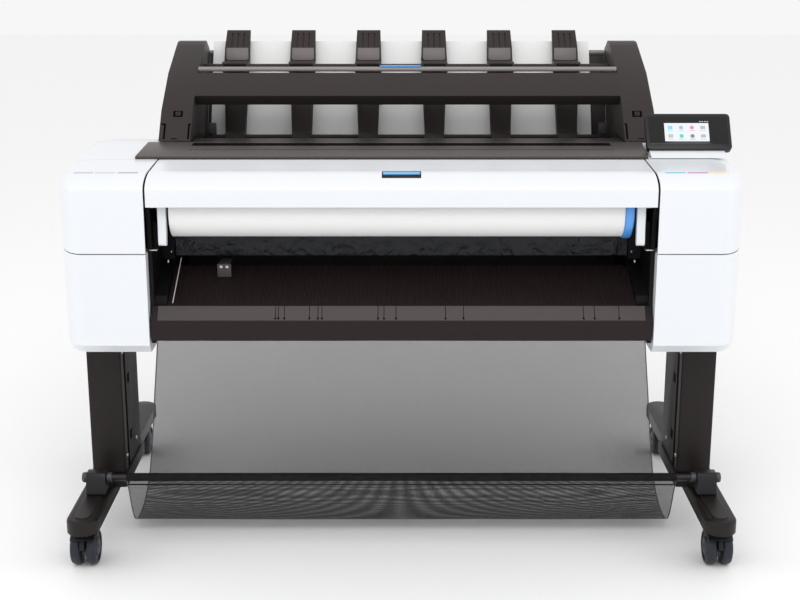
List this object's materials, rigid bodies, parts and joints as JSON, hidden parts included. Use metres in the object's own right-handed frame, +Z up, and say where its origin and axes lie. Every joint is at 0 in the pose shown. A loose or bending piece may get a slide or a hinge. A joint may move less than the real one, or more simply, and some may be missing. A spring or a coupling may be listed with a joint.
{
  "type": "large format plotter",
  "caption": "Roll-fed wide plotter on a castored stand, with a nose-shaped lid, a top stacker, a tilting touch screen and a hanging mesh basket.",
  "frame": {"origin": "on the floor, at the middle of the whole machine's width and depth", "axes": "+X to the operator's right along the width, +Y to the back, +Z up; the casters' treads touch Z = 0"},
  "size_m": [1.399, 0.882, 1.027],
  "materials": {
    "white_plastic": "fine satin moulding, very slightly blue white",
    "brown_plastic": "fine grained warm dark grey-brown",
    "black_plastic": "satin black",
    "dark_paint": "fine textured powder coat, brown black",
    "steel": "zinc plated sheet",
    "grey_plastic": "satin warm grey",
    "blue_plastic": "satin bright blue",
    "paper": "coated matt white",
    "basket_mesh": "fine woven mesh, grey, half see-through",
    "wheel_rubber": "dark blue-black tread",
    "screen_glass": "gloss black tablet with a lit display"
  },
  "bodies": {
    "root": {"left_lower_housing": "white_plastic", "left_upper_housing": "white_plastic", "right_lower_housing": "white_plastic", "right_upper_housing": "white_plastic", "control_panel_base": "white_plastic", "top_panel": "brown_plastic", "rear_cover": "brown_plastic", "stacker_frame": "brown_plastic", "stacker_back": "brown_plastic", "stacker_arms": "brown_plastic", "output_ramp": "brown_plastic", "ramp_lip": "brown_plastic", "left_side_frame": "black_plastic", "left_ink_bay": "black_plastic", "left_bar_bracket": "black_plastic", "right_side_frame": "black_plastic", "right_ink_bay": "black_plastic", "right_bar_bracket": "black_plastic", "roll_shield": "black_plastic", "platen": "black_plastic", "power_inlet": "black_plastic", "left_foot": "dark_paint", "left_leg": "dark_paint", "right_foot": "dark_paint", "right_leg": "dark_paint", "cross_beam": "dark_paint", "basket_front_bar": "dark_paint", "basket_rear_bar": "dark_paint", "carriage_rail": "steel", "base_pan": "steel", "stacker_front_rod": "grey_plastic", "left_first_cartridge": "grey_plastic", "left_second_cartridge": "grey_plastic", "left_third_cartridge": "grey_plastic", "right_first_cartridge": "grey_plastic", "right_second_cartridge": "grey_plastic", "right_third_cartridge": "grey_plastic", "stacked_sheet": "paper", "basket_fabric": "basket_mesh"},
    "front_cover": {"front_cover": "white_plastic", "cover_handle": "blue_plastic"},
    "left_ink_cover": {"left_ink_cover": "white_plastic"},
    "right_ink_cover": {"right_ink_cover": "white_plastic"},
    "roll": {"paper_roll": "paper", "spindle": "black_plastic", "roll_stop": "blue_plastic"},
    "left_spindle_lever": {"left_spindle_lever": "white_plastic"},
    "right_spindle_lever": {"right_spindle_lever": "white_plastic"},
    "carriage": {"carriage": "black_plastic"},
    "feed_roller": {"feed_roller": "wheel_rubber"},
    "control_panel": {"control_panel": "screen_glass"},
    "power_switch": {"power_switch": "black_plastic"},
    "front_left_caster_fork": {"front_left_caster_fork": "black_plastic"},
    "front_left_caster_wheels": {"front_left_caster_wheels": "wheel_rubber"},
    "front_right_caster_fork": {"front_right_caster_fork": "black_plastic"},
    "front_right_caster_wheels": {"front_right_caster_wheels": "wheel_rubber"},
    "rear_left_caster_fork": {"rear_left_caster_fork": "black_plastic"},
    "rear_left_caster_wheels": {"rear_left_caster_wheels": "wheel_rubber"},
    "rear_right_caster_fork": {"rear_right_caster_fork": "black_plastic"},
    "rear_right_caster_wheels": {"rear_right_caster_wheels": "wheel_rubber"}
  },
  "joints": [
    {"name": "front_cover_hinge", "type": "hinge", "parent": "root", "child": "front_cover", "pos_m": [0, -0.134, 0.7955], "axis": [-1, 0, 0], "range_deg": [0, 75]},
    {"name": "left_ink_cover_hinge", "type": "hinge", "parent": "root", "child": "left_ink_cover", "pos_m": [-0.605, -0.133, 0.7985], "axis": [-1, 0, 0], "range_deg": [0, 68]},
    {"name": "right_ink_cover_hinge", "type": "hinge", "parent": "root", "child": "right_ink_cover", "pos_m": [0.605, -0.133, 0.7985], "axis": [-1, 0, 0], "range_deg": [0, 68]},
    {"name": "roll_spin", "type": "hinge", "parent": "root", "child": "roll", "pos_m": [0, -0.226, 0.72], "axis": [1, 0, 0], "continuous": true},
    {"name": "left_lever_pivot", "type": "hinge", "parent": "root", "child": "left_spindle_lever", "pos_m": [-0.48, -0.281, 0.733], "axis": [-1, 0, 0], "range_deg": [0, 60]},
    {"name": "right_lever_pivot", "type": "hinge", "parent": "root", "child": "right_spindle_lever", "pos_m": [0.48, -0.281, 0.733], "axis": [-1, 0, 0], "range_deg": [0, 60]},
    {"name": "carriage_slide", "type": "slide", "parent": "root", "child": "carriage", "axis": [1, 0, 0], "range_m": [-0.8, 0]},
    {"name": "feed_roller_spin", "type": "hinge", "parent": "root", "child": "feed_roller", "pos_m": [0, -0.104, 0.7235], "axis": [1, 0, 0], "continuous": true},
    {"name": "control_panel_tilt", "type": "hinge", "parent": "root", "child": "control_panel", "pos_m": [0.6005, -0.059, 0.832], "axis": [-1, 0, 0], "range_deg": [0, 30]},
    {"name": "power_switch_rock", "type": "hinge", "parent": "root", "child": "power_switch", "pos_m": [0.57, 0.1529, 0.515], "axis": [1, 0, 0], "range_deg": [0, 12]},
    {"name": "front_left_caster_swivel", "type": "hinge", "parent": "root", "child": "front_left_caster_fork", "pos_m": [-0.651, -0.389, 0], "axis": [0, 0, 1], "continuous": true},
    {"name": "front_left_wheel_spin", "type": "hinge", "parent": "front_left_caster_fork", "child": "front_left_caster_wheels", "pos_m": [-0.651, -0.371, 0.037], "axis": [1, 0, 0], "continuous": true},
    {"name": "front_right_caster_swivel", "type": "hinge", "parent": "root", "child": "front_right_caster_fork", "pos_m": [0.651, -0.389, 0], "axis": [0, 0, 1], "continuous": true},
    {"name": "front_right_wheel_spin", "type": "hinge", "parent": "front_right_caster_fork", "child": "front_right_caster_wheels", "pos_m": [0.651, -0.371, 0.037], "axis": [1, 0, 0], "continuous": true},
    {"name": "rear_left_caster_swivel", "type": "hinge", "parent": "root", "child": "rear_left_caster_fork", "pos_m": [-0.651, 0.234, 0], "axis": [0, 0, 1], "continuous": true},
    {"name": "rear_left_wheel_spin", "type": "hinge", "parent": "rear_left_caster_fork", "child": "rear_left_caster_wheels", "pos_m": [-0.651, 0.252, 0.037], "axis": [1, 0, 0], "continuous": true},
    {"name": "rear_right_caster_swivel", "type": "hinge", "parent": "root", "child": "rear_right_caster_fork", "pos_m": [0.651, 0.234, 0], "axis": [0, 0, 1], "continuous": true},
    {"name": "rear_right_wheel_spin", "type": "hinge", "parent": "rear_right_caster_fork", "child": "rear_right_caster_wheels", "pos_m": [0.651, 0.252, 0.037], "axis": [1, 0, 0], "continuous": true}
  ]
}
